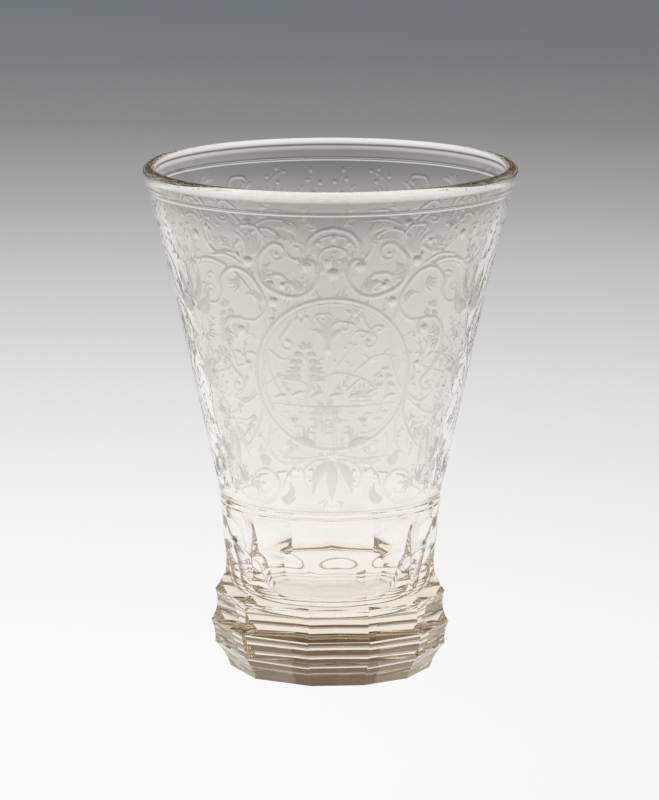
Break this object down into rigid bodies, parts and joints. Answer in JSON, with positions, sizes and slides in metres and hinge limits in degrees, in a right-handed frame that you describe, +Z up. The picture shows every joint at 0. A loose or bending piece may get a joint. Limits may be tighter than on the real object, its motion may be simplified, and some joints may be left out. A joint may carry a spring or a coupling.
{
  "type": "drinking beaker",
  "caption": "Footless conical glass beaker with a facet-cut solid base, a fluted waist, a rounded lip and an engraved wall.",
  "frame": {"origin": "centre of the base, on the surface that the beaker stands on", "axes": "+Z up along the beaker's own axis, -Y towards the viewer of the picture"},
  "size_m": [0.0924, 0.0924, 0.126],
  "materials": {
    "glass": "clear polished glass, wheel engraved in matt with polished beads"
  },
  "bodies": {
    "root": {"beaker": "glass"}
  },
  "joints": []
}
